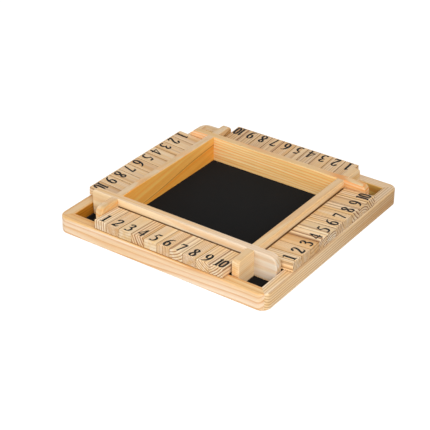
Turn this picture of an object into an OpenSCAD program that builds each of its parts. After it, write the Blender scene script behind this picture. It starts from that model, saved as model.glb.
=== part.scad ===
// Four player flip tile game: a square pine tray with a row of ten hinged number tiles on each side.
// X runs along the front rail, Y from front to back, Z up. The origin is the centre of the underside.
// The front side is drawn once and turned by quarter turns to make the right, back and left sides.

/* [Tray] */
// Overall width and depth of the tray
box_w = 220; // [200:1:260]
// Overall height, to the top of the inner walls
box_h = 30; // [28:0.5:40]
// Height of the outer rails
rail_h = 16; // [14:0.5:18]
// Thickness of the outer rails
rail_t = 11; // [9:0.5:14]
// Radius of the tray's four upright outer corners
rail_corner_r = 9; // [3:0.5:10]
// Radius along the top edges of the rails
rail_edge_r = 1.5; // [0.5:0.1:2.5]
// Radius along the bottom outer edge of the rails
rail_foot_r = 0.8; // [0.3:0.1:1.5]

/* [Base] */
// Thickness of the base board
base_t = 3; // [2:0.5:5]
// Height of the base board's underside above the table
base_recess = 1.3; // [0.8:0.1:3]
// Depth of the groove in the rails that holds the base board
groove_depth = 4; // [2:0.5:6]
// Gap between the edge of the base board and the bottom of the groove
groove_end_gap = 0.5; // [0.2:0.1:1]
// Thickness of the felt
felt_t = 1; // [0.5:0.1:2]
// Gap between the edge of the felt and the rails
felt_edge_gap = 0.2; // [0:0.1:1]

/* [Inner walls] */
// Thickness of the inner walls
wall_t = 7.4; // [6:0.1:9]
// Width of the trough between an inner wall and its outer rail
trough_w = 23; // [20:0.5:28]
// Radius along the top edges and round the ears of the inner walls
wall_edge_r = 0.9; // [0.5:0.1:2]
// Radius of the top outer corner of most ears
ear_r = 5.5; // [2.5:0.5:8]
// Radius of that corner on the one round ear of the front and back walls
round_ear_r = 8.5; // [5:0.5:10]
// Radius of that corner on the nearly square left ears of the front and right walls
square_ear_r = 3; // [2.5:0.5:5]
// Gap between the end of an ear and the outer rail
ear_gap = 0.8; // [0.5:0.1:3]

/* [Tiles] */
// Number of tiles in a row
tile_count = 10; // [9:1:12]
// Thickness of a tile
tile_t = 8.8; // [7:0.2:10]
// Gap between neighbouring tiles
tile_gap = 0.4; // [0.2:0.05:0.6]
// Free space in the row beside tile 1
row_start_gap = 0.6; // [0.4:0.1:2]
// Free space in the row beside the last tile
row_end_gap = 1.4; // [0.4:0.1:3]
// Distance of the tiles' outer ends from the tray's outside
tile_setback = 1; // [0:0.1:3]
// Slope of a tile at rest, in degrees, outer end up
tile_tilt = 4; // [3:0.5:6]
// Gap between a tile at rest and the rail's inner top edge
tile_rest_gap = 0.15; // [0.1:0.05:0.4]
// Radius of a tile's inner end, which turns past the wall
tile_heel_r = 2; // [1:0.1:3]
// Radius of a tile's outer end
tile_nose_r = 0.8; // [0.5:0.1:2]
// Radius along a tile's long edges
tile_edge_r = 0.7; // [0.2:0.1:1]
// Gap between the wall and a tile's inner end as it turns past
heel_clear = 0.55; // [0.3:0.05:1]

/* [Rods] */
// Diameter of a rod
rod_d = 3; // [2:0.5:4]
// Distance of the rod's axis from a tile's inner end
rod_inset = 8.5; // [7:0.5:11]
// Radial clearance of the rod in a tile
rod_play = 0.06; // [0.03:0.01:0.1]
// Radial clearance of the rod in its sockets
socket_play = 0.03; // [0.01:0.01:0.05]
// Depth of the blind sockets in the ears
socket_depth = 5; // [3:0.5:5.5]
// Gap between a rod's end and the bottom of its socket
rod_end_gap = 0.3; // [0.1:0.1:0.6]

/* [Screws] */
// Distance between the two screws in a wall
screw_spread = 90; // [60:5:110]
// Length of a screw
screw_l = 12; // [9:1:16]
// Diameter of a screw's shank
screw_d = 2.5; // [2:0.1:3]
// Diameter of a screw's head
screw_head_d = 5; // [4:0.2:6]
// Length of a screw's point
screw_tip_l = 2.5; // [1.5:0.5:4]
// Width of the cross slot in a screw's head
slot_w = 0.7; // [0.4:0.1:1]
// Length of the cross slot in a screw's head
slot_l = 2.8; // [2:0.1:3.5]
// Depth of the cross slot in a screw's head
slot_depth = 0.7; // [0.4:0.1:1]
// Radial clearance of a screw in the wood
screw_play = 0.03; // [0.01:0.01:0.1]

/* [Hidden] */
// Each curve's smoothness
$fn = 64;
// How far a cut runs past the face that it starts from
over = 1;
quarter = 90;
pine = "#ebc797";
tile_pine = "#dfc7a2";
felt_black = "#1d1d1c";
board_brown = "#c9a878";
steel = "#b9bbbd";

// Places worked out from the sizes above; a reach is a distance from the tray's centre line
half_w = box_w / 2;
rail_in = half_w - rail_t;
wall_out = rail_in - trough_w;
wall_in = wall_out - wall_t;
wall_mid = (wall_in + wall_out) / 2;
ear_end = rail_in - ear_gap;
floor_z = base_recess + base_t + felt_t;
lap_z = (floor_z + box_h) / 2;

// Tile width from the space between the ears
row_w = 2 * wall_in - row_start_gap - row_end_gap;
tile_pitch = (row_w + tile_gap) / tile_count;
tile_w = tile_pitch - tile_gap;

// The tile's heel is a circle about the rod's axis as it turns, so the rod stands clear of the wall
heel_reach = norm([rod_inset - tile_heel_r, tile_t / 2 - tile_heel_r]) + tile_heel_r;
rod_reach = wall_out + heel_reach + heel_clear;

// The rod's height lays the tilted tile on the rail's rounded inner top edge
rest_drop = tile_t / 2 + tile_rest_gap + rail_edge_r;
rest_reach = rail_in + rail_edge_r - rod_reach;
rod_z = rail_h - rail_edge_r + (rest_drop - rest_reach * sin(tile_tilt)) / cos(tile_tilt);
tile_l = rod_inset + (half_w - tile_setback - rod_reach) / cos(tile_tilt);

// Names of the sides, in the order of the quarter turns that make them
SIDES = ["front", "right", "back", "left"];
// The front and back walls lap over the right and left walls
laps_over = [true, false, true, false];
// Corner radii of the left and right ears of each wall, seen from outside
ear_radii = [[square_ear_r, round_ear_r], [square_ear_r, ear_r], [ear_r, round_ear_r], [ear_r, ear_r]];

function tile_name(side, n) = str("tile_", SIDES[side], n < 10 ? "_0" : "_", n);

// Turns what is drawn for the front side to another side
module on_side(side) {
    rotate([0, 0, quarter * side]) children();
}

// Runs a section along X; the section's x is the reach towards the front and its y is the height
module along(length) {
    rotate([quarter, 0, -quarter]) linear_extrude(length, center = true) children();
}

// What a round corner of radius r takes off a square corner at the origin
module corner_waste(r) {
    difference() {
        translate([-over, -over]) square(r + over);
        translate([r, r]) circle(r);
    }
}

// A rectangle with its own radius at each corner: lower left, lower right, upper right, upper left
module soft_rect(w, h, radii) {
    difference() {
        square([w, h]);
        corner_waste(radii[0]);
        translate([w, 0]) mirror([1, 0]) corner_waste(radii[1]);
        translate([w, h]) mirror([1, 0]) mirror([0, 1]) corner_waste(radii[2]);
        translate([0, h]) mirror([0, 1]) corner_waste(radii[3]);
    }
}

// A rail's section, from its inner face outwards
module rail_section() {
    difference() {
        square([rail_t, rail_h]);
        translate([rail_t, 0]) mirror([1, 0]) corner_waste(rail_foot_r);
        translate([rail_t, rail_h]) mirror([1, 0]) mirror([0, 1]) corner_waste(rail_edge_r);
        translate([0, rail_h]) mirror([0, 1]) corner_waste(rail_edge_r);
    }
}

// The part of the rail's section that turns round the tray's corner
module corner_section() {
    difference() {
        square([rail_corner_r, rail_h]);
        translate([rail_corner_r, 0]) mirror([1, 0]) corner_waste(rail_foot_r);
        translate([rail_corner_r, rail_h]) mirror([1, 0]) mirror([0, 1]) corner_waste(rail_edge_r);
    }
}

// One rail, mitred at both ends, with the groove for the base board
module rail_solid() {
    corner_mid = half_w - rail_corner_r;
    difference() {
        intersection() {
            union() {
                along(2 * corner_mid) translate([rail_in, 0]) rail_section();
                for (end = [-1, 1])
                    translate([end * corner_mid, -corner_mid, 0])
                        rotate([0, 0, end > 0 ? -quarter : 2 * quarter])
                            rotate_extrude(angle = quarter) corner_section();
            }
            translate([0, 0, -over]) linear_extrude(rail_h + 2 * over)
                polygon([[0, 0], [box_w, -box_w], [-box_w, -box_w]]);
        }
        groove_blank(groove_depth);
    }
}

// The square slab that the base board's groove clears, so far into the rails
module groove_blank(depth) {
    width = 2 * (rail_in + depth);
    translate([-width / 2, -width / 2, base_recess]) cube([width, width, base_t]);
}

// Places two screws in each inner wall
module at_screws() {
    for (side = [0:3], end = [-1, 1])
        on_side(side) translate([end * screw_spread / 2, -wall_mid, base_recess]) children();
}

// A screw's outline of revolution, grown by the play round it, from its head's face upwards
module screw_outline(play) {
    head_r = screw_head_d / 2;
    shank_r = screw_d / 2;
    head_l = head_r - shank_r;
    polygon([
        [0, 0], [head_r + play, 0], [shank_r + play, head_l],
        [shank_r + play, screw_l - screw_tip_l], [0, screw_l + play]
    ]);
}

// The hole that a screw leaves in the wood, open below its head
module screw_hole() {
    rotate_extrude() screw_outline(screw_play);
    translate([0, 0, -over]) cylinder(h = over, r = screw_head_d / 2 + screw_play);
}

module screw() {
    difference() {
        rotate_extrude() screw_outline(0);
        for (turn = [0, quarter])
            rotate([0, 0, turn]) translate([-slot_l / 2, -slot_w / 2, -over])
                cube([slot_l, slot_w, slot_depth + over]);
    }
}

// An inner wall's section, from its inner face outwards and up from the felt
module wall_section() {
    wall_h = box_h - floor_z;
    translate([wall_in, floor_z]) difference() {
        square([wall_t, wall_h]);
        translate([wall_t, wall_h]) mirror([1, 0]) mirror([0, 1]) corner_waste(wall_edge_r);
        translate([0, wall_h]) mirror([0, 1]) corner_waste(wall_edge_r);
    }
}

// The wall's full thickness by some length, with the corners at its far end rounded
module ear_section(length) {
    translate([0, -wall_t / 2]) difference() {
        square([length, wall_t]);
        translate([length, 0]) mirror([1, 0]) corner_waste(wall_edge_r);
        translate([length, wall_t]) mirror([1, 0]) mirror([0, 1]) corner_waste(wall_edge_r);
    }
}

// The right end of a wall, from the tray's middle outwards, with the ear's corner of radius r
module wall_half(r) {
    ear_mid = ear_end - r;
    ear_top = box_h - r;
    translate([ear_mid / 2, 0, 0]) along(ear_mid) wall_section();
    translate([ear_mid, -wall_mid, floor_z]) linear_extrude(ear_top - floor_z) ear_section(r);
    translate([ear_mid, -wall_mid, ear_top]) rotate([quarter, 0, 0])
        rotate_extrude(angle = quarter) ear_section(r);
}

// A whole inner wall with both ears, before it is lapped
module wall_bar(radii) {
    mirror([1, 0, 0]) wall_half(radii[0]);
    wall_half(radii[1]);
}

// The columns that a wall shares with the two walls that cross it, between two heights
module lap_columns(low, high) {
    for (end = [-1, 1])
        translate([end * wall_mid - wall_t / 2, -wall_out - over, low])
            cube([wall_t, wall_t + 2 * over, high - low]);
}

// The tops of the two crossing walls' shared columns, which a wall that laps over them carries
module lap_caps() {
    for (cross = [1, 3]) intersection() {
        on_side(cross) translate([(cross - 2) * wall_mid, 0, 0]) along(wall_t) wall_section();
        translate([-box_w / 2, -box_w / 2, lap_z]) cube([box_w, box_w, box_h]);
    }
}

// Blind holes in a wall's ears, for the rods that run at right angles to it
module rod_sockets() {
    for (end = [-1, 1])
        translate([end * rod_reach, over - wall_in, rod_z]) rotate([quarter, 0, 0])
            cylinder(h = socket_depth + over, r = rod_d / 2 + socket_play);
}

// One inner wall, halved into its neighbours at both crossings
module wall_solid(side) {
    difference() {
        union() {
            difference() {
                wall_bar(ear_radii[side]);
                if (laps_over[side]) lap_columns(floor_z - over, lap_z);
                else lap_columns(lap_z, box_h + over);
            }
            if (laps_over[side]) lap_caps();
        }
        rod_sockets();
        for (end = [-1, 1])
            translate([end * screw_spread / 2, -wall_mid, base_recess]) screw_hole();
    }
}

module rod_solid() {
    length = 2 * (wall_in + socket_depth - rod_end_gap);
    translate([-length / 2, -rod_reach, rod_z]) rotate([0, quarter, 0])
        cylinder(h = length, d = rod_d);
}

// A tile about its rod's axis: outer end towards the front, number side up
module tile_solid() {
    difference() {
        intersection() {
            along(tile_w) translate([-rod_inset, -tile_t / 2])
                soft_rect(tile_l, tile_t, [tile_heel_r, tile_nose_r, tile_nose_r, tile_heel_r]);
            translate([-tile_w / 2, rod_inset + over, -tile_t / 2]) rotate([quarter, 0, 0])
                linear_extrude(tile_l + 2 * over)
                    soft_rect(tile_w, tile_t, [for (corner = [1:4]) tile_edge_r]);
        }
        translate([-tile_w / 2 - over, 0, 0]) rotate([0, quarter, 0])
            cylinder(h = tile_w + 2 * over, r = rod_d / 2 + rod_play);
    }
}

// The named sub-parts

module rail(side) {
    color(pine) on_side(side) rail_solid();
}

module base_board() {
    color(board_brown) difference() {
        groove_blank(groove_depth - groove_end_gap);
        at_screws() screw_hole();
    }
}

module felt_lining() {
    width = 2 * (rail_in - felt_edge_gap);
    color(felt_black) difference() {
        translate([-width / 2, -width / 2, base_recess + base_t]) cube([width, width, felt_t]);
        at_screws() screw_hole();
    }
}

module wall(side) {
    color(pine) on_side(side) wall_solid(side);
}

module rod(side) {
    color(steel) on_side(side) rod_solid();
}

module base_screws() {
    color(steel) at_screws() screw();
}

module tile(side, n) {
    place = -wall_in + row_start_gap + tile_w / 2 + (n - 1) * tile_pitch;
    color(tile_pine) on_side(side) translate([place, -rod_reach, rod_z])
        rotate([-tile_tilt, 0, 0]) tile_solid();
}

for (side = [0:3]) {
    rail(side);
    wall(side);
    rod(side);
    for (n = [1:tile_count])
        tile(side, n);
}
base_board();
felt_lining();
base_screws();
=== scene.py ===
"""Looks for the four player flip tile game: pine boards, felt, printed numbers, steel, camera and light.

Lengths are in metres, except where a name ends in _MM or a comment says millimetres. The frame's X
runs along the front rail, Y to the back and Z up. Each board is cut from its own trunk: a solid
texture of growth rings round a pith line, so the grain on its faces, edges and ends agrees.
"""
import math

import bmesh
import bpy
from mathutils import Euler, Matrix, Vector
from mathutils.geometry import convex_hull_2d, delaunay_2d_cdt


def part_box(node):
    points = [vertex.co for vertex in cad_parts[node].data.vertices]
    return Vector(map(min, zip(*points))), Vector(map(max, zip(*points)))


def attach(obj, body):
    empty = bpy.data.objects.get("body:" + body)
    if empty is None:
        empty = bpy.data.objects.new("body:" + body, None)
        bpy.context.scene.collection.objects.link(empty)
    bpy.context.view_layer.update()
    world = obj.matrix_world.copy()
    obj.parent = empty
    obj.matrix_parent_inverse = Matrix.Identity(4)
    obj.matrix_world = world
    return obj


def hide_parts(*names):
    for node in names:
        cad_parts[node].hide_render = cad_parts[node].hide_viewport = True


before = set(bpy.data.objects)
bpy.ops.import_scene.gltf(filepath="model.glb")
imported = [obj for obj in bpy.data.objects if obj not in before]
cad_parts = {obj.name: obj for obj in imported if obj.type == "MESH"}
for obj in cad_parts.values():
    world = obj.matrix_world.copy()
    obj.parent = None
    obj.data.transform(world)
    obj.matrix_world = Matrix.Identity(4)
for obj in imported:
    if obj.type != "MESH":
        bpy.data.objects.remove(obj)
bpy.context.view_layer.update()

MM = 0.001

# The sides in the order of the quarter turns that make them from the front
SIDES = ["front", "right", "back", "left"]
TILE_COUNT = 10


# Camera

# Direction and distance of the camera from the middle of the tray
CAMERA_AZIMUTH = 35.58
CAMERA_ELEVATION = 30.93
CAMERA_DISTANCE = 1.16205
CAMERA_AIM = Vector((0, 0, 0.015))
# How far the camera is set off sideways and upwards from that line
CAMERA_OFFSET = (-0.01469, -0.01241)
CAMERA_LENS_MM = 108.195
CAMERA_SENSOR_MM = 36


def show(made):
    """Links a new object into the scene."""
    bpy.context.scene.collection.objects.link(made)
    return made


def object_of(mesh, name):
    """Turns a finished bmesh into an object in the scene."""
    data = bpy.data.meshes.new(name)
    mesh.to_mesh(data)
    mesh.free()
    return show(bpy.data.objects.new(name, data))


def make_camera():
    azimuth, elevation = math.radians(CAMERA_AZIMUTH), math.radians(CAMERA_ELEVATION)
    level = math.cos(elevation)
    back = Vector((math.sin(azimuth) * level, -math.cos(azimuth) * level, math.sin(elevation)))
    right = Vector((math.cos(azimuth), math.sin(azimuth), 0))
    up = back.cross(right)
    place = CAMERA_AIM + back * CAMERA_DISTANCE + right * CAMERA_OFFSET[0] + up * CAMERA_OFFSET[1]
    data = bpy.data.cameras.new("camera")
    data.sensor_width = CAMERA_SENSOR_MM
    data.lens = CAMERA_LENS_MM
    camera = bpy.data.objects.new("camera", data)
    turn = Matrix((right, up, back)).transposed().to_4x4()
    camera.matrix_world = Matrix.Translation(place) @ turn
    bpy.context.scene.camera = show(camera)


# Node trees

NO_TINT = (1, 1, 1, 1)
# Most values of a noise texture lie between these
NOISE_SPAN = (0.3, 0.7)


def linear(colour):
    """An sRGB colour of 0 to 255 as the linear colour that a shader takes."""
    shares = [channel / 255 for channel in colour]
    return [s / 12.92 if s <= 0.04045 else ((s + 0.055) / 1.055) ** 2.4 for s in shares] + [1]


class Graph:
    """Short calls for building a node tree. A value may be a number, a vector, a colour or an output."""

    def __init__(self, tree):
        self.tree = tree

    def node(self, kind, inputs=None, **settings):
        made = self.tree.nodes.new(kind)
        for name, value in settings.items():
            setattr(made, name, value)
        for name, value in (inputs or {}).items():
            self.feed(made.inputs[name], value)
        return made

    def feed(self, socket, value):
        if isinstance(value, bpy.types.NodeSocket):
            self.tree.links.new(value, socket)
        else:
            socket.default_value = value

    def math(self, operation, *values):
        inputs = dict(enumerate(values))
        return self.node("ShaderNodeMath", inputs, operation=operation).outputs[0]

    def vector(self, operation, *values):
        made = self.node("ShaderNodeVectorMath", dict(enumerate(values)), operation=operation)
        return made.outputs["Value" if operation in ("LENGTH", "DOT_PRODUCT") else "Vector"]

    def scaled(self, vector, factor):
        made = self.node("ShaderNodeVectorMath", {0: vector, "Scale": factor}, operation="SCALE")
        return made.outputs["Vector"]

    def coordinates(self, output="Object"):
        return self.node("ShaderNodeTexCoord").outputs[output]

    def noise(self, point, lengths, detail=2.0, roughness=0.5, output="Fac"):
        """Noise whose features are as long on each axis as lengths says."""
        place = self.vector("DIVIDE", point, lengths)
        made = self.node("ShaderNodeTexNoise", {"Vector": place, "Scale": 1.0, "Detail": detail,
                                               "Roughness": roughness})
        return made.outputs[output]

    def remap(self, value, low, high, to_low, to_high, kind="LINEAR"):
        made = self.node("ShaderNodeMapRange", {"Value": value, "From Min": low, "From Max": high,
                                               "To Min": to_low, "To Max": to_high},
                         interpolation_type=kind)
        return made.outputs["Result"]

    def spread(self, noise, low, high):
        """Noise spread over a range of values."""
        return self.remap(noise, *NOISE_SPAN, low, high)

    def mix(self, share, first, second, kind="MIX"):
        made = self.node("ShaderNodeMix", data_type="RGBA", blend_type=kind, clamp_factor=True)
        self.feed(made.inputs[0], share)
        self.feed(made.inputs[6], first)
        self.feed(made.inputs[7], second)
        return made.outputs[2]

    def tinted(self, colour, share, tint):
        """A colour times a tint, to a share of that tint."""
        return self.mix(1, colour, self.mix(share, NO_TINT, tint), "MULTIPLY")

    def ramp(self, value, stops):
        made = self.node("ShaderNodeValToRGB", {"Fac": value})
        elements = made.color_ramp.elements
        while len(elements) < len(stops):
            elements.new(1)
        for element, (place, shade) in zip(elements, stops):
            element.position = place
            element.color = (shade, shade, shade, 1)
        return made.outputs["Color"]

    def bump(self, strength, distance, height):
        made = self.node("ShaderNodeBump", {"Strength": strength, "Distance": distance, "Height": height})
        return made.outputs["Normal"]


def new_material(name):
    """A material with a Principled shader, and the graph to add to it."""
    material = bpy.data.materials.new(name)
    material.use_nodes = True
    graph = Graph(material.node_tree)
    shader = material.node_tree.nodes["Principled BSDF"]
    return material, graph, shader


# Pine

# How the darkness of a growth ring runs from its pale start to the dark line that ends it
RING_PROFILE = [(0.0, 0.0), (0.3, 0.08), (0.6, 0.42), (0.82, 1.0), (0.93, 0.9), (1.0, 0.0)]
# Darkness of the faintest and of the strongest ring
RING_DARKNESS = (0.55, 1)
# Lengths of the slow waves of the trunk and of its tone, along and across the trunk
SWAY_LENGTHS_MM = (110, 17, 17)
TONE_LENGTHS_MM = (150, 5, 5)
# Length and width of a bundle of fibres
FIBRE_LENGTHS_MM = (9, 0.3, 0.3)
# Size of the pores that roughen sawn end grain
PORE_LENGTHS_MM = (0.28, 0.28, 0.28)
# Parts of a unit normal between which a face turns into an end, an inner face, a top or a side
END_FACING = (0.5, 0.9)
INNER_FACING = (0.5, 0.95)
TOP_FACING = (0.3, 0.9)
SIDE_FACING = (0.6, 0.9)
# Values of the slow tone noise between which the wood turns from a pale streak to a darker one
TONE_SPAN = (0.35, 0.68)
# How much stronger the rings are on an end, and how far the grit darkens and brightens the wood
END_STRENGTH = 1.5
GRIT_SHADE = (0.93, 1.07)
PINE_ROUGHNESS = (0.4, 0.5)
# What an end adds to the roughness
END_ROUGHNESS = 0.12
PINE_SPECULAR = 0.3
# Height of the fibres and of the hard dark lines on a sanded face, the lines against the fibres
PINE_BUMP = 0.5
FIBRE_BUMP = 0.03 * MM
RING_HEIGHT = 0.6
# Places along a board between which its colour changes to that of its far end, partly the wood's own
# tone and partly painted light that falls off along the board, and the share of that change on its upper face
FAR_START_MM, FAR_END_MM = -60, 100
FAR_ON_TOP = 0.3
# More than half the length of any board
WHOLE_BOARD_MM = 120
# Tints of sawn ends, of the heartwood, of the vein round it and of the wood between pale streaks
END_TINT = (0.9, 0.92, 0.95, 1)
HEART_TINT = (1, 0.91, 0.7, 1)
VEIN_TINT = (0.6, 0.4, 0.24, 1)
# Half the width of the dark vein round the heartwood
VEIN_MM = 0.9
STREAK_TINT = (0.92, 0.78, 0.55, 1)
PINE_INPUTS = {"Point": "Vector", "Normal": "Vector", "Ring": "Float", "Sway": "Float",
               "Streak": "Float", "Heart": "Float", "Inner end": "Float", "Early": "Color",
               "Late": "Color", "Top": "Color", "Inner": "Color", "Far": "Color"}
PINE_OUTPUTS = {"Color": "Color", "Roughness": "Float", "Normal": "Vector"}


def make_pine_group():
    """The solid texture of a pine trunk that runs along X, with its pith on the X axis, in millimetres.
    Top and Inner tint the faces that look along Z and Y with painted light and shade, to the colours that the
    tops and the inner faces take in the light round the tray."""
    tree = bpy.data.node_groups.new("pine", "ShaderNodeTree")
    for way, sockets in [("INPUT", PINE_INPUTS), ("OUTPUT", PINE_OUTPUTS)]:
        for name, kind in sockets.items():
            tree.interface.new_socket(name, in_out=way, socket_type="NodeSocket" + kind)
    g = Graph(tree)
    given = g.node("NodeGroupInput").outputs
    point = given["Point"]

    # Rings, bent by slow waves
    waves = g.noise(point, SWAY_LENGTHS_MM, detail=1.5, output="Color")
    sway = g.scaled(g.vector("SUBTRACT", waves, (0.5, 0.5, 0.5)), given["Sway"])
    bent = g.vector("ADD", point, sway)
    across = g.vector("LENGTH", g.vector("MULTIPLY", bent, (0, 1, 1)))
    count = g.math("DIVIDE", across, given["Ring"])
    ring_random = g.node("ShaderNodeTexWhiteNoise", {"W": g.math("FLOOR", count)},
                         noise_dimensions="1D").outputs["Value"]
    profile = g.ramp(g.math("FRACT", count), RING_PROFILE)
    dark = g.math("MULTIPLY", profile, g.remap(ring_random, 0, 1, *RING_DARKNESS))

    # Which way the face looks
    facing = g.node("ShaderNodeSeparateXYZ", {"Vector": given["Normal"]}).outputs
    end = g.remap(g.math("ABSOLUTE", facing["X"]), *END_FACING, 0, 1, "SMOOTHSTEP")
    along = g.node("ShaderNodeSeparateXYZ", {"Vector": point}).outputs["X"]
    # Faces towards the tray's middle, which get painted light and shade
    inner_light = g.math("MULTIPLY", g.remap(facing["Y"], *INNER_FACING, 0, 1, "SMOOTHSTEP"),
                   g.math("LESS_THAN", g.math("ABSOLUTE", along), given["Inner end"]))
    # Upper faces, which get painted light
    top = g.remap(facing["Z"], *TOP_FACING, 0, 1, "SMOOTHSTEP")
    # The far end's tint: partly the wood's tone, partly painted fall-off of light along the board
    far = g.math("MULTIPLY", g.remap(along, FAR_START_MM, FAR_END_MM, 0, 1),
                 g.remap(top, 0, 1, 1, FAR_ON_TOP))

    # Fibres on the faces, pores on the ends and slow changes of tone
    grit = g.mix(end, g.noise(point, FIBRE_LENGTHS_MM), g.noise(point, PORE_LENGTHS_MM, detail=1))
    tone = g.noise(point, TONE_LENGTHS_MM, detail=1)

    # Tints of the heartwood and its vein, then of the faces: pale streaks and ends are the wood's own, the
    # tops and inner faces get painted light and shade, and the far end is partly painted light
    from_heart = g.math("SUBTRACT", across, given["Heart"])
    heart = g.remap(from_heart, -VEIN_MM, VEIN_MM, 1, 0, "SMOOTHSTEP")
    vein = g.remap(g.math("ABSOLUTE", from_heart), 0, VEIN_MM, 1, 0, "SMOOTHSTEP")
    tint = g.mix(vein, g.mix(heart, NO_TINT, HEART_TINT), VEIN_TINT)
    for share, face_tint in [(g.remap(tone, *TONE_SPAN, 0, 1), STREAK_TINT), (top, given["Top"]),
                             (inner_light, given["Inner"]), (end, END_TINT), (far, given["Far"])]:
        tint = g.tinted(tint, share, face_tint)

    # Ends show the rings more strongly
    strength = g.math("MULTIPLY", given["Streak"], g.remap(end, 0, 1, 1, END_STRENGTH))
    shade = g.mix(g.math("MULTIPLY", dark, strength), given["Early"], given["Late"])
    colour = g.scaled(g.mix(1, shade, tint, "MULTIPLY"), g.spread(grit, *GRIT_SHADE))
    roughness = g.math("ADD", g.spread(grit, *PINE_ROUGHNESS), g.math("MULTIPLY", end, END_ROUGHNESS))
    height = g.math("ADD", grit, g.math("MULTIPLY", dark, RING_HEIGHT))
    normal = g.bump(PINE_BUMP, FIBRE_BUMP, height)

    made = g.node("NodeGroupOutput")
    for name, output in zip(PINE_OUTPUTS, (colour, roughness, normal)):
        g.feed(made.inputs[name], output)
    return tree


def trunk_mapping(graph, centre, along, up, pith, lean):
    """Point and normal in the trunk's frame. centre is the board's, along and up are its axes in the
    row frame, pith is where the trunk's heart passes the board's middle, across and up from its centre
    in millimetres, and lean turns the trunk about the board's across and up axes, in degrees."""
    across = up.cross(along)
    turn = Euler((0, math.radians(lean[0]), math.radians(lean[1]))).to_matrix() @ Matrix((along, across, up))
    shift = -(turn @ (centre / MM)) - Vector((0, *pith))
    angles = turn.to_euler()
    point = graph.node("ShaderNodeMapping", {"Vector": graph.coordinates(), "Location": shift,
                                             "Rotation": angles, "Scale": (1 / MM,) * 3})
    normal = graph.node("ShaderNodeMapping", {"Vector": graph.coordinates("Normal"), "Rotation": angles},
                        vector_type="NORMAL")
    return point.outputs[0], normal.outputs[0]


def tint_between(colour, target):
    """The tint that turns one sRGB colour into another."""
    return [there / here for here, there in zip(linear(colour), linear(target))]


def make_pine(name, centre, along, up, pith, ring, sway, streak, early, late, lean=(0, 0), heart=0,
              inner_end=WHOLE_BOARD_MM, top=None, inner_light=None, far=None):
    """A pine board's material. ring is the width of a growth ring in millimetres, sway the size of its
    waves, streak the strength of its dark lines and heart the radius of the darker heartwood. early and
    late are the colours of a ring's start and end, and top, inner_light and far those of its start on the
    upper face, on the face towards the tray's middle up to inner_end millimetres from the board's
    middle, and at the board's far end. top and inner_light are painted light and shade on those faces,
    and far is partly the wood's own change of tone and partly painted light that falls off along the board."""
    material, graph, shader = new_material(name)
    point, normal = trunk_mapping(graph, centre, along, up, pith, lean)
    cut = graph.node("ShaderNodeGroup", node_tree=pine_group)
    values = (point, normal, ring, sway, streak, heart, inner_end, linear(early), linear(late),
              tint_between(early, top or early), tint_between(early, inner_light or early),
              tint_between(early, far or early))
    for socket, value in zip(PINE_INPUTS, values):
        graph.feed(cut.inputs[socket], value)
    graph.feed(shader.inputs["Base Color"], cut.outputs["Color"])
    graph.feed(shader.inputs["Roughness"], cut.outputs["Roughness"])
    graph.feed(shader.inputs["Normal"], cut.outputs["Normal"])
    shader.inputs["Specular IOR Level"].default_value = PINE_SPECULAR
    return material


def dress(node, material):
    """Gives a CAD node's object one material."""
    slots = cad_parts[node].material_slots
    if not slots:
        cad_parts[node].data.materials.append(material)
    for slot in slots:
        slot.material = material


def turned(vector, side):
    """A direction or place of the front side, turned to another side."""
    return Matrix.Rotation(math.radians(90 * side), 3, "Z") @ Vector(vector)


def middle(node):
    low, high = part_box(node)
    return (low + high) / 2


UP = Vector((0, 0, 1))

# How each rail and inner wall is cut: where its pith lies, how it leans and how it is coloured. Its top and
# inner_light colours are painted light and shade, and its far colour is partly painted light
RAIL_CUTS = {
    "front": dict(pith=(34, -30), lean=(0.5, 0.9), ring=3, sway=5, streak=0.7,
                  early=(242, 218, 190), late=(216, 156, 92), top=(234, 197, 144), inner_light=(224, 160, 84)),
    "right": dict(pith=(-44, 44), lean=(0.3, 0.2), ring=1.9, sway=2.5, streak=1,
                  early=(250, 222, 180), late=(190, 144, 96), top=(241, 219, 188), inner_light=(224, 160, 84),
                  far=(205, 167, 113)),
    "back": dict(pith=(-30, 12), lean=(0.5, 1), ring=2.6, sway=4, streak=0.8,
                 early=(232, 208, 174), late=(206, 150, 90), inner_light=(226, 184, 98)),
    "left": dict(pith=(12, 50), lean=(0.6, 0.4), ring=2.4, sway=3, streak=0.8,
                 early=(231, 202, 162), late=(200, 142, 80), inner_light=(210, 148, 46)),
}
WALL_CUTS = {
    "front": dict(pith=(40, 16), lean=(0.6, 0.6), ring=2.6, sway=3, streak=0.5,
                  early=(239, 214, 173), late=(222, 169, 106), top=(236, 211, 179), inner_light=(252, 204, 132),
                  far=(231, 221, 206)),
    "right": dict(pith=(6, -45), lean=(0.5, 0.8), ring=2, sway=3, streak=0.7,
                  early=(249, 221, 176), late=(232, 186, 136), top=(224, 191, 146), inner_light=(252, 204, 132)),
    "back": dict(pith=(4, -70), lean=(0.7, 0.3), ring=2.8, sway=7, streak=1,
                 early=(240, 206, 164), late=(236, 146, 56), top=(228, 197, 150), inner_light=(255, 227, 168)),
    "left": dict(pith=(8, -60), lean=(-7.4, 1), ring=5, sway=12, streak=0.5, heart=56.4,
                 early=(228, 195, 147), late=(234, 164, 84), top=(223, 196, 160), inner_light=(255, 197, 103),
                 far=(238, 206, 158)),
}

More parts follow.
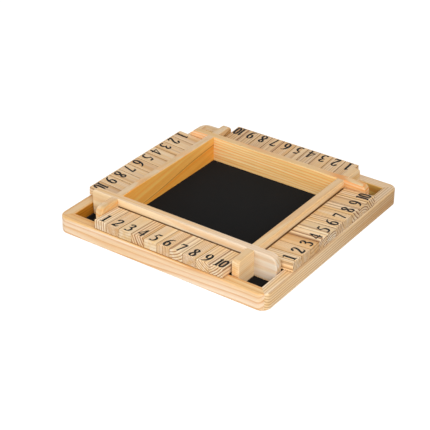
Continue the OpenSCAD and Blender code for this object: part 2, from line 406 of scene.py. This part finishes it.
# How each tile is cut: direction of its pith from its middle in degrees, 0 to the right as its player
# sees it, 90 up, how far off that is in millimetres, ring width in millimetres, streak and tone
TILE_CUTS = {
    "front": [(5, 60, 2.6, 0.9, 3), (20, 45, 1.3, 0.8, -4), (92, 60, 2.6, 0.35, -9), (28, 50, 2.6, 1, -6),
              (94, 70, 3, 0.3, -2), (0, 60, 1.6, 0.8, -3), (118, 24, 2.6, 0.8, 2), (35, 60, 1.3, 0.9, -3),
              (55, 40, 2, 0.7, 0), (134, 30, 2.1, 0.9, 0)],
    "right": [(150, 50, 2.3, 0.8, 2), (165, 50, 1.4, 0.7, 0), (98, 50, 3.4, 0.4, -14),
              (-60, 12, 2.4, 1, 5), (-80, 14, 2.4, 0.9, 5), (150, 40, 2.7, 0.9, 2),
              (160, 50, 2, 0.7, 0), (40, 40, 3.4, 0.9, -4), (-100, 14, 2.4, 0.8, -2), (35, 40, 2.6, 0.8, -2)],
    "back": [(5, 60, 1.6, 0.7, -6), (20, 45, 2.3, 0.6, -4), (95, 60, 2.6, 0.5, -6), (25, 50, 2.6, 0.7, -12),
             (80, 30, 2.2, 0.6, -4), (0, 60, 1.6, 0.7, -2), (118, 24, 2.6, 0.6, -5), (35, 60, 1.3, 0.9, -6),
             (55, 40, 2, 0.7, -8), (134, 30, 2.1, 0.9, -7)],
    "left": [(88, 40, 3, 0.4, -3), (80, 35, 3, 0.35, -4), (60, 45, 2.6, 0.5, -2), (95, 50, 3, 0.3, -4),
             (85, 60, 2.6, 0.4, -5), (92, 35, 2.4, 0.4, -5), (75, 40, 3, 0.35, -4), (100, 50, 2.6, 0.4, -4),
             (20, 60, 2, 0.5, 0), (95, 40, 2.6, 0.5, -2)],
}
# Colours of a ring's start and end on the tiles of each side
TILE_COLOURS = {"front": ((248, 223, 186), (164, 96, 40)), "right": ((246, 217, 176), (132, 74, 28)),
                "back": ((236, 208, 170), (160, 98, 46)), "left": ((236, 207, 169), (160, 102, 52))}
# Tiles that are warmer, or cooler, than the rest of their row, and by how much
WARM_TILES = {"tile_front_01": -4, "tile_front_02": 3, "tile_front_04": 4, "tile_front_06": 4,
              "tile_front_07": -7, "tile_front_10": -5, "tile_right_02": 5, "tile_right_03": 13,
              "tile_right_05": -9, "tile_back_03": 4, "tile_back_06": 6, "tile_left_06": 4}
TILE_SWAY = 1.2
# How the tiles of the front row rise outwards, and the ways that they lie along and face
TILE_TILT = math.radians(4)
TILE_OUTWARDS = Vector((0, -math.cos(TILE_TILT), math.sin(TILE_TILT)))
TILE_UP = Vector((0, math.sin(TILE_TILT), math.cos(TILE_TILT)))

# Painted shade between the tiles and beside their wall: dark lines where the narrow gaps fall in shadow

# Colour of the painted shade in the gaps
GAP_SHADE_TINT = (0.3, 0.2, 0.12, 1)
GAP_SHADE_BLUR = 0.25 * MM
# How far the painted shade on the wall ends below the tiles' upper faces, and how far it reaches over their
# ends
GAP_SHADE_BELOW = 0.06 * MM
GAP_SHADE_OVER = 1.07 * MM
# Depths below a tile's upper face at which the painted shade on its long sides fades out and is full
SEAM_DEPTH = 2.5 * MM
SEAM_FULL_DEPTH = SEAM_DEPTH / 3
SEAM_SHADE_SHARE = 0.62
# Places on the front row, which the other rows share: the height of its tiles' upper faces along
# TILE_UP, the ends of the row and of its tiles, and the outer face of its wall
FIRST_TILE = "tile_front_01"
TILE_TOP = max(v.co.dot(TILE_UP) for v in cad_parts[FIRST_TILE].data.vertices)
ROW_END = -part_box(FIRST_TILE)[0].x
TILE_END = -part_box(FIRST_TILE)[1].y
WALL_FACE = -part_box("wall_front")[0].y
GAP_SHADE_TOP = (TILE_TOP + WALL_FACE * math.sin(TILE_TILT)) / math.cos(TILE_TILT) - GAP_SHADE_BELOW
GAP_SHADE_REACH = TILE_END + GAP_SHADE_OVER


def measure(g, output, direction, side):
    """How far a point lies, or a normal points, in a direction of the front side turned to a side."""
    return g.vector("DOT_PRODUCT", g.coordinates(output), turned(direction, side))


def soil(material, g, share):
    """Darkens a material's colour by a share of painted shade."""
    colour = material.node_tree.nodes["Principled BSDF"].inputs["Base Color"]
    g.feed(colour, g.tinted(colour.links[0].from_socket, share, GAP_SHADE_TINT))


def soil_wall(material, side):
    """Painted shade on an inner wall's outer face, in the gap beside its row of tiles."""
    g = Graph(material.node_tree)
    height = measure(g, "Object", (0, 0, 1), side)
    along = g.math("ABSOLUTE", measure(g, "Object", (1, 0, 0), side))
    low = g.remap(height, GAP_SHADE_TOP - GAP_SHADE_BLUR, GAP_SHADE_TOP + GAP_SHADE_BLUR, 1, 0)
    beside = g.remap(along, ROW_END, ROW_END + GAP_SHADE_BLUR, 1, 0)
    outer = g.remap(measure(g, "Normal", (0, -1, 0), side), *SIDE_FACING, 0, 1)
    soil(material, g, g.math("MULTIPLY", g.math("MULTIPLY", low, beside), outer))


def soil_tile(material, side):
    """Painted shade on a tile's long sides, just below its upper face, and on its end beside the wall."""
    g = Graph(material.node_tree)
    height = measure(g, "Object", TILE_UP, side)
    long_side = g.remap(g.math("ABSOLUTE", measure(g, "Normal", (1, 0, 0), side)), *SIDE_FACING, 0, 1)
    seam = g.remap(height, TILE_TOP - SEAM_DEPTH, TILE_TOP - SEAM_FULL_DEPTH, 0, SEAM_SHADE_SHARE)
    outwards = measure(g, "Object", (0, -1, 0), side)
    heel = g.remap(outwards, GAP_SHADE_REACH - GAP_SHADE_BLUR, GAP_SHADE_REACH + GAP_SHADE_BLUR, 1, 0)
    soil(material, g, g.math("MAXIMUM", g.math("MULTIPLY", long_side, seam), heel))


# How far from its middle an inner wall's inner face looks into the tray
WALL_INNER_END_MM = middle("wall_right").x / MM


def dress_boards():
    for side, name in enumerate(SIDES):
        along = turned((1, 0, 0), side)
        rail, wall = "rail_" + name, "wall_" + name
        dress(rail, make_pine(rail, middle(rail), along, UP, **RAIL_CUTS[name]))
        wood = make_pine(wall, middle(wall), along, UP, inner_end=WALL_INNER_END_MM, **WALL_CUTS[name])
        # Painted shade in the gap beside the wall's row of tiles
        soil_wall(wood, side)
        dress(wall, wood)


def tile_name(side, number):
    return f"tile_{SIDES[side]}_{number:02d}"


def dress_tiles():
    for side, name in enumerate(SIDES):
        outwards, up = turned(TILE_OUTWARDS, side), turned(TILE_UP, side)
        for number, (bearing, reach, ring, streak, tone) in enumerate(TILE_CUTS[name], 1):
            tile = tile_name(side, number)
            angle = math.radians(bearing)
            pith = (reach * math.cos(angle), reach * math.sin(angle))
            warm = WARM_TILES.get(tile, 0)
            early, late = ([channel + tone - warm * i for i, channel in enumerate(colour)]
                           for colour in TILE_COLOURS[name])
            wood = make_pine(tile, middle(tile), outwards, up, pith, ring, TILE_SWAY, streak, early, late)
            # Painted shade in the seams between tiles and on the tile's end beside the wall
            soil_tile(wood, side)
            dress(tile, wood)


# Numbers

# Half width and half height of the pen that draws the numbers: upright lines are thick, level ones
# thin. The figures' points are shares of their height, from the foot of the figure upwards.
PEN = (0.09, 0.038)
# Strokes of each figure: pen size against PEN, and points. A stroke of two points is straight.
FIGURES = {
    "0": [((1, 1), [(0.25, 0.974), (0.1, 0.82), (0.064, 0.5), (0.1, 0.18), (0.25, 0.026), (0.4, 0.18),
                    (0.436, 0.5), (0.4, 0.82), (0.25, 0.974)])],
    "1": [((1, 1), [(0.27, 0.03), (0.27, 0.95)]),
          ((0.4, 0.9), [(0.27, 0.974), (0.18, 0.9), (0.1, 0.87)]),
          ((1, 0.8), [(0.14, 0.021), (0.4, 0.021)])],
    "2": [((1, 1), [(0.064, 0.74), (0.12, 0.9), (0.23, 0.97), (0.36, 0.9), (0.395, 0.74), (0.33, 0.53),
                    (0.2, 0.3), (0.07, 0.06)]),
          ((0.6, 2), [(0.07, 0.052), (0.4, 0.052)]),
          ((0.4, 1), [(0.42, 0.05), (0.46, 0.19)])],
    "3": [((1, 1), [(0.09, 0.82), (0.15, 0.93), (0.24, 0.974), (0.355, 0.9), (0.375, 0.77),
                    (0.29, 0.61), (0.17, 0.53)]),
          ((1, 1), [(0.17, 0.53), (0.3, 0.51), (0.39, 0.4), (0.4, 0.25), (0.33, 0.09), (0.2, 0.026),
                    (0.1, 0.06)]),
          ((1, 1.8), [(0.08, 0.075), (0.1, 0.07)])],
    "4": [((0.85, 1), [(0.36, 0.03), (0.36, 0.95)]),
          ((0.42, 1), [(0.35, 0.96), (0.01, 0.285)]),
          ((0.6, 1.3), [(0.01, 0.28), (0.49, 0.28)])],
    "5": [((0.6, 2), [(0.18, 0.93), (0.4, 0.935)]),
          ((0.4, 1), [(0.4, 0.93), (0.44, 0.98)]),
          ((0.5, 1), [(0.175, 0.93), (0.1, 0.63)]),
          ((1, 1), [(0.1, 0.63), (0.26, 0.58), (0.38, 0.45), (0.395, 0.28), (0.33, 0.11), (0.2, 0.026),
                    (0.1, 0.05)]),
          ((1, 1.8), [(0.08, 0.065), (0.1, 0.06)])],
    "6": [((1, 1), [(0.43, 0.97), (0.28, 0.9), (0.14, 0.7), (0.075, 0.42), (0.1, 0.18), (0.19, 0.04),
                    (0.27, 0.026), (0.38, 0.1), (0.425, 0.3), (0.37, 0.5), (0.28, 0.57), (0.18, 0.54),
                    (0.1, 0.44)])],
    "7": [((0.6, 2), [(0.08, 0.935), (0.42, 0.935)]),
          ((0.4, 1), [(0.075, 0.93), (0.04, 0.79)]),
          ((0.75, 1), [(0.425, 0.93), (0.21, 0.03)])],
    "8": [((1, 1), [(0.25, 0.974), (0.14, 0.92), (0.1, 0.79), (0.16, 0.65), (0.31, 0.47), (0.41, 0.3),
                    (0.39, 0.12), (0.25, 0.026), (0.11, 0.1), (0.075, 0.26), (0.14, 0.42), (0.28, 0.58),
                    (0.375, 0.72), (0.38, 0.86), (0.25, 0.974)])],
}
FIGURE_WIDTH_SHARE = 0.5
# Points that a curved stroke gets for each one that it is given, and corners of the pen
CURVE_STEPS = 6
PEN_CORNERS = 20
NUMBER_HEIGHT = 12.6 * MM
# Width of a figure against its drawn width, alone and in a number of two figures
SINGLE_NARROW = 1.0
DOUBLE_NARROW = 0.8
# Width of the pen in a number of two figures, which are narrower but as bold
DOUBLE_PEN = 1.2
FIGURE_GAP_SHARE = -0.02
# Points nearer than this are one point in a number's outline
UNION_EPSILON = 0.001 * MM
# Gap between a number's foot and the tile's outer end
NUMBER_FOOT = 1.6 * MM
# How far the ink stands on the wood, and soaks into it
INK_PROUD = 0.04 * MM
INK_SUNK = 0.06 * MM


def figure_strokes(figure):
    """A 9 is a 6 turned by half a turn."""
    if figure != "9":
        return FIGURES[figure]
    return [(pen, [(FIGURE_WIDTH_SHARE - x, 1 - y) for x, y in points]) for pen, points in FIGURES["6"]]


def smooth_line(points):
    """Points along a smooth curve through the given ones."""
    if len(points) == 2:
        return [Vector(p) for p in points]
    closed = points[0] == points[-1]
    knots = [Vector(p) for p in (points[:-1] if closed else points)]
    count = len(knots)

    def knot(index):
        if closed:
            return knots[index % count]
        return knots[max(0, min(count - 1, index))]

    line = []
    for i in range(count if closed else count - 1):
        a, b, c, d = (knot(i + k) for k in (-1, 0, 1, 2))
        for step in range(CURVE_STEPS):
            t = step / CURVE_STEPS
            line.append(0.5 * (2 * b + (c - a) * t + (2 * a - 5 * b + 4 * c - d) * t * t
                               + (3 * b - a - 3 * c + d) * t ** 3))
    line.append(knot(count - 1 if not closed else 0))
    return line


def pen_offset(normal, pen):
    """How far the pen's edge lies from its centre in the direction of a unit normal."""
    reach = math.hypot(pen[0] * normal.x, pen[1] * normal.y)
    return Vector((pen[0] ** 2 * normal.x, pen[1] ** 2 * normal.y)) / reach


def stroke_outlines(points, pen):
    """Closed outlines that together cover what the pen covers along a stroke."""
    line = smooth_line(points)
    outlines = []
    for centre in (line[0], line[-1]):
        angles = [2 * math.pi * k / PEN_CORNERS for k in range(PEN_CORNERS)]
        outlines.append([centre + Vector((pen[0] * math.cos(a), pen[1] * math.sin(a))) for a in angles])
    edges = []
    for i, place in enumerate(line):
        ahead = line[min(i + 1, len(line) - 1)] - line[max(i - 1, 0)]
        offset = pen_offset(Vector((-ahead.y, ahead.x)).normalized(), pen)
        edges.append((place + offset, place - offset))
    for edge, next_edge in zip(edges, edges[1:]):
        ends = [*edge, *next_edge]
        outlines.append([ends[i] for i in convex_hull_2d(ends)])
    return outlines


def number_outlines(number):
    """Outlines of a number, in metres, centred across and with its foot at 0."""
    figures = str(number)
    single = len(figures) == 1
    narrow = (SINGLE_NARROW if single else DOUBLE_NARROW) * NUMBER_HEIGHT
    pen_width = PEN[0] * (1 if single else DOUBLE_PEN)
    step = (FIGURE_WIDTH_SHARE + FIGURE_GAP_SHARE) * narrow
    width = step * (len(figures) - 1) + FIGURE_WIDTH_SHARE * narrow
    outlines = []
    for place, figure in enumerate(figures):
        for pen_size, points in figure_strokes(figure):
            pen = (pen_width * pen_size[0], PEN[1] * pen_size[1])
            for outline in stroke_outlines(points, pen):
                outlines.append([Vector((p.x * narrow + place * step - width / 2, p.y * NUMBER_HEIGHT))
                                 for p in outline])
    return outlines


def union_mesh(outlines):
    """Corners and triangles of the area that the outlines cover together."""
    corners, faces = [], []
    for outline in outlines:
        faces.append(list(range(len(corners), len(corners) + len(outline))))
        corners.extend(outline)
    made = delaunay_2d_cdt(corners, [], faces, 0, UNION_EPSILON)
    corners, triangles, covered_by = made[0], made[2], made[5]
    return corners, [t for t, covers in zip(triangles, covered_by) if covers]


def make_number(side, number, ink):
    """A number's ink on its tile: a thin solid that stands on the tile's upper face."""
    tile = tile_name(side, number)
    corners, triangles = union_mesh(number_outlines(number))
    mesh = bmesh.new()
    low = [mesh.verts.new((p.x, p.y, -INK_SUNK)) for p in corners]
    for triangle in triangles:
        mesh.faces.new([low[i] for i in triangle])
    bmesh.ops.recalc_face_normals(mesh, faces=mesh.faces)
    lifted = bmesh.ops.extrude_face_region(mesh, geom=mesh.faces[:])["geom"]
    lifted_verts = [v for v in lifted if isinstance(v, bmesh.types.BMVert)]
    bmesh.ops.translate(mesh, verts=lifted_verts, vec=(0, 0, INK_SUNK + INK_PROUD))
    bmesh.ops.recalc_face_normals(mesh, faces=mesh.faces)
    piece = object_of(mesh, f"number_{SIDES[side]}_{number:02d}")
    piece.matrix_world = number_place(side, tile)
    piece.data.materials.append(ink)
    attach(piece, tile)


def number_place(side, tile):
    """The frame of a number on its tile: X across, Y inwards from the number's foot, Z off the face."""
    across = turned((1, 0, 0), side)
    inwards = -turned(TILE_OUTWARDS, side)
    up = across.cross(inwards)
    verts = [v.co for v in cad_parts[tile].data.vertices]
    top = max(v.dot(up) for v in verts)
    outer = min(v.dot(inwards) for v in verts)
    centre = (max(v.dot(across) for v in verts) + min(v.dot(across) for v in verts)) / 2
    place = across * centre + inwards * (outer + NUMBER_FOOT) + up * top
    return Matrix.Translation(place) @ Matrix((across, inwards, up)).transposed().to_4x4()


# Colours of fresh and of worn ink
INK_DARK = (24, 22, 21)
INK_WORN = (52, 44, 37)
# Size of the ink's blots, the values of their noise between which the ink is worn, and how far
BLOT_LENGTHS = (1.1 * MM, 1.1 * MM, 1.1 * MM)
WORN_SPAN = (0.5, 0.72)
WORN_SHARE = 0.6
INK_ROUGHNESS = (0.55, 0.75)
INK_SPECULAR = 0.15
# Strength and height
INK_BUMP = (0.4, 0.02 * MM)


def make_ink():
    material, g, shader = new_material("number_ink")
    blot = g.noise(g.coordinates(), BLOT_LENGTHS, detail=4, roughness=0.65)
    worn = g.remap(blot, *WORN_SPAN, 0, WORN_SHARE, "SMOOTHSTEP")
    g.feed(shader.inputs["Base Color"], g.mix(worn, linear(INK_DARK), linear(INK_WORN)))
    g.feed(shader.inputs["Roughness"], g.spread(blot, *INK_ROUGHNESS))
    shader.inputs["Specular IOR Level"].default_value = INK_SPECULAR
    g.feed(shader.inputs["Normal"], g.bump(*INK_BUMP, blot))
    return material


# Felt

# A face whose normal rises or falls by more than this is level, and any other is an edge
LEVEL_NORMAL = 0.5
# Spacing of the points that carry the felt's uneven nap, and the most that it sinks
FELT_STEP = 2.4 * MM
FELT_SINK = 0.09 * MM
# How far the felt's cut edge is drawn in and down
FELT_EDGE_DROP = 0.25 * MM
# The crossed waves of the nap: radians per metre along X and Y, and phase
NAP_WAVES = [(346, 622, 0.4), (-842, 374, 1.9), (1114, -986, 4.1), (1622, 1814, 2.7)]
# Colours of the felt's ground and of its fluff
FELT_DARK = (3, 4, 5)
FELT_FLUFF = (15, 16, 18)
# Lengths of the hairs that lie one way and the other, and of the cloudy patches
HAIR_LENGTHS = (0.5 * MM, 0.22 * MM, 0.5 * MM)
CROSSING_LENGTHS = (0.22 * MM, 0.6 * MM, 0.5 * MM)
CLOUD_LENGTHS = (14 * MM, 14 * MM, 14 * MM)
HAIR_ROUGHNESS = 0.7
# Values of the hairs' noise between which fluff shows, and the most that hairs and patches show
FLUFF_SPAN = (0.5, 0.8)
FLUFF_SHARE = 0.7
CLOUD_SHARE = 0.12
FELT_SPECULAR = 0.1
FELT_SHEEN = 0.04
FELT_SHEEN_ROUGHNESS = 0.6
FELT_BUMP = (0.8, 0.12 * MM)


def nap_share(x, y):
    """An uneven share from 0 to 1 that varies over the felt, from a few crossed waves."""
    total = sum(math.sin(a * x + b * y + phase) for a, b, phase in NAP_WAVES)
    return 0.5 + total / (2 * len(NAP_WAVES))


def make_felt():
    low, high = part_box("felt_lining")
    width = high.x - low.x
    count = round(width / FELT_STEP)
    mesh = bmesh.new()
    bmesh.ops.create_grid(mesh, x_segments=count, y_segments=count, size=width / 2)
    for vert in mesh.verts:
        rim = vert.is_boundary
        vert.co.z = high.z - (FELT_EDGE_DROP if rim else FELT_SINK * nap_share(vert.co.x, vert.co.y))
    rims = [e for e in mesh.edges if e.is_boundary]
    skirt = bmesh.ops.extrude_edge_only(mesh, edges=rims)["geom"]
    bottom = [v for v in skirt if isinstance(v, bmesh.types.BMVert)]
    for vert in bottom:
        vert.co.z = low.z
    bmesh.ops.contextual_create(mesh, geom=[e for e in mesh.edges if e.is_boundary])
    bmesh.ops.recalc_face_normals(mesh, faces=mesh.faces)
    for face in mesh.faces:
        face.smooth = abs(face.normal.z) > LEVEL_NORMAL
    piece = object_of(mesh, "felt")
    piece.data.materials.append(make_felt_material())
    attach(piece, "tray")
    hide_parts("felt_lining")


def make_felt_material():
    material, g, shader = new_material("felt_nap")
    place = g.coordinates()
    hairs = g.noise(place, HAIR_LENGTHS, detail=4, roughness=HAIR_ROUGHNESS)
    crossing = g.noise(place, CROSSING_LENGTHS, detail=3, roughness=HAIR_ROUGHNESS)
    fluff = g.math("MAXIMUM", hairs, crossing)
    share = g.math("ADD", g.remap(fluff, *FLUFF_SPAN, 0, FLUFF_SHARE),
                   g.spread(g.noise(place, CLOUD_LENGTHS), 0, CLOUD_SHARE))
    g.feed(shader.inputs["Base Color"], g.mix(share, linear(FELT_DARK), linear(FELT_FLUFF)))
    shader.inputs["Roughness"].default_value = 1
    shader.inputs["Specular IOR Level"].default_value = FELT_SPECULAR
    shader.inputs["Sheen Weight"].default_value = FELT_SHEEN
    shader.inputs["Sheen Roughness"].default_value = FELT_SHEEN_ROUGHNESS
    g.feed(shader.inputs["Normal"], g.bump(*FELT_BUMP, fluff))
    return material


# Base board and steel

# Colours of the plywood's faces, between and on their dark lines, and of its odd and even plies
PLY_FACE = ((226, 196, 150), (188, 146, 98))
PLY_EDGE = ((196, 150, 98), (140, 98, 60))
PLY_THICKNESS = 1 * MM
# Lengths of the waves of the plywood's lines and of its fibres
PLY_WAVE_LENGTHS = (90 * MM, 12 * MM, 30 * MM)
PLY_FIBRE_LENGTHS = (12 * MM, 0.4 * MM, 0.4 * MM)
# Spacing of the lines, how many spacings the waves move them, and how their darkness runs
PLY_LINE_STEP = 16 * MM
PLY_WAVE_SHARE = 9
PLY_LINE_PROFILE = [(0, 0), (0.5, 0.25), (0.85, 1), (1, 0)]
PLY_LINE_STRENGTH = 0.45
PLY_FIBRE_SPAN = (0.35, 0.7)
PLY_FIBRE_STRENGTH = 0.3
PLY_ROUGHNESS = (0.55, 0.7)
PLY_BUMP = (0.5, 0.04 * MM)


def make_plywood():
    """Thin plywood: pale birch faces with fine level grain, and darker plies that show at its edge."""
    material, g, shader = new_material("base_plywood")
    place = g.coordinates()
    axes = g.node("ShaderNodeSeparateXYZ", {"Vector": place}).outputs
    sway = g.math("MULTIPLY", g.noise(place, PLY_WAVE_LENGTHS, detail=3), PLY_WAVE_SHARE)
    lines = g.math("FRACT", g.math("ADD", sway, g.math("DIVIDE", axes["Y"], PLY_LINE_STEP)))
    figure = g.math("MULTIPLY", g.ramp(lines, PLY_LINE_PROFILE), PLY_LINE_STRENGTH)
    fibre = g.noise(place, PLY_FIBRE_LENGTHS, detail=3)
    share = g.math("ADD", figure, g.remap(fibre, *PLY_FIBRE_SPAN, 0, PLY_FIBRE_STRENGTH))
    face_colour = g.mix(share, *map(linear, PLY_FACE))
    ply = g.math("PINGPONG", g.math("DIVIDE", axes["Z"], PLY_THICKNESS), 1)
    edge_colour = g.mix(ply, *map(linear, PLY_EDGE))
    rise = g.node("ShaderNodeSeparateXYZ", {"Vector": g.coordinates("Normal")}).outputs["Z"]
    edge = g.math("LESS_THAN", g.math("ABSOLUTE", rise), LEVEL_NORMAL)
    g.feed(shader.inputs["Base Color"], g.mix(edge, face_colour, edge_colour))
    g.feed(shader.inputs["Roughness"], g.spread(fibre, *PLY_ROUGHNESS))
    g.feed(shader.inputs["Normal"], g.bump(*PLY_BUMP, fibre))
    return material


ROD_COLOUR = (196, 198, 200)
ROD_ROUGHNESS = 0.3
SCREW_COLOUR = (190, 188, 182)
SCREW_ROUGHNESS = 0.38
# Length and width of the fine marks on steel, and how much darker it is in them
MARK_LENGTH = 3 * MM
MARK_WIDTH = 0.12 * MM
MARK_SHADE = 0.86
# How far the roughness of steel goes below and above its mean
STEEL_ROUGHNESS_SPAN = (-0.06, 0.1)


def make_steel(name, colour, along, roughness):
    """Steel with fine marks that are drawn out along an axis."""
    material, g, shader = new_material(name)
    lengths = [MARK_LENGTH if axis in along else MARK_WIDTH for axis in "xyz"]
    marks = g.noise(g.coordinates(), lengths, detail=3)
    dull = [channel * MARK_SHADE for channel in colour]
    g.feed(shader.inputs["Base Color"], g.mix(g.spread(marks, 0, 1), linear(colour), linear(dull)))
    g.feed(shader.inputs["Roughness"], g.spread(marks, *(roughness + part for part in STEEL_ROUGHNESS_SPAN)))
    shader.inputs["Metallic"].default_value = 1
    return material


def dress_hardware():
    dress("base_board", make_plywood())
    steel = [make_steel("rod_steel_" + axis, ROD_COLOUR, axis, ROD_ROUGHNESS) for axis in "xy"]
    for side, name in enumerate(SIDES):
        dress("rod_" + name, steel[side % len(steel)])
    dress("base_screws", make_steel("screw_steel", SCREW_COLOUR, "", SCREW_ROUGHNESS))


# Floor, background and light

FLOOR_SIZE = 6
# The floor lies a hair lower than the rails' feet
FLOOR_DROP = 0.02 * MM
FLOOR_COLOUR = 0.45
# Light that the floor shows the camera by itself, so that it is white with a faint shadow
FLOOR_GLOW = 0.75
# Strength of the white world that lights the scene
SKY_FILL = 0.58
# The lamps: name, place, size and energy in watts. The key stands low before the front rail, a
# smaller lamp to the right of the near corner fades along the right rail, and the fill above the near
# corner reaches down into the tray.
LAMPS = [
    ("key", Vector((-0.15, -1.45, 0.36)), 0.7, 7.4),
    ("side", Vector((0.75, -0.34, 0.3)), 0.3, 0.4),
    ("fill", Vector((0.95, -0.85, 1.1)), 0.8, 12),
]


def seen_share(g):
    """1 for rays that show a surface to the camera, straight or by a reflection, and 0 for others."""
    ray = g.node("ShaderNodeLightPath").outputs
    reflected = g.math("MAXIMUM", ray["Is Glossy Ray"], ray["Is Transmission Ray"])
    return g.math("MAXIMUM", ray["Is Camera Ray"], reflected)


def make_floor():
    mesh = bmesh.new()
    bmesh.ops.create_grid(mesh, x_segments=1, y_segments=1, size=FLOOR_SIZE / 2)
    floor = object_of(mesh, "floor")
    floor.location.z = -FLOOR_DROP
    material, g, shader = new_material("floor_white")
    material.node_tree.nodes.remove(shader)
    diffuse = g.node("ShaderNodeBsdfDiffuse", {"Color": (FLOOR_COLOUR,) * 3 + (1,)})
    glow = g.node("ShaderNodeEmission", {"Color": (1, 1, 1, 1),
                                         "Strength": g.math("MULTIPLY", seen_share(g), FLOOR_GLOW)})
    both = g.node("ShaderNodeAddShader", {0: diffuse.outputs[0], 1: glow.outputs[0]})
    g.feed(material.node_tree.nodes["Material Output"].inputs["Surface"], both.outputs[0])
    floor.data.materials.append(material)


def make_world():
    world = bpy.data.worlds.new("studio")
    world.use_nodes = True
    bpy.context.scene.world = world
    g = Graph(world.node_tree)
    background = world.node_tree.nodes["Background"]
    background.inputs["Color"].default_value = (1, 1, 1, 1)
    g.feed(background.inputs["Strength"], g.remap(seen_share(g), 0, 1, SKY_FILL, 1))


def make_lamps():
    for name, place, size, energy in LAMPS:
        data = bpy.data.lights.new(name, "AREA")
        data.shape = "DISK"
        data.size = size
        data.energy = energy
        lamp = bpy.data.objects.new(name, data)
        lamp.location = place
        lamp.rotation_mode = "QUATERNION"
        lamp.rotation_quaternion = (CAMERA_AIM - place).to_track_quat("-Z", "Y")
        show(lamp)


make_camera()
pine_group = make_pine_group()
dress_boards()
dress_tiles()
number_ink = make_ink()
for side_index in range(len(SIDES)):
    for tile_number in range(1, TILE_COUNT + 1):
        make_number(side_index, tile_number, number_ink)
make_felt()
dress_hardware()
make_floor()
make_world()
make_lamps()
bpy.context.scene.view_settings.view_transform = "Standard"
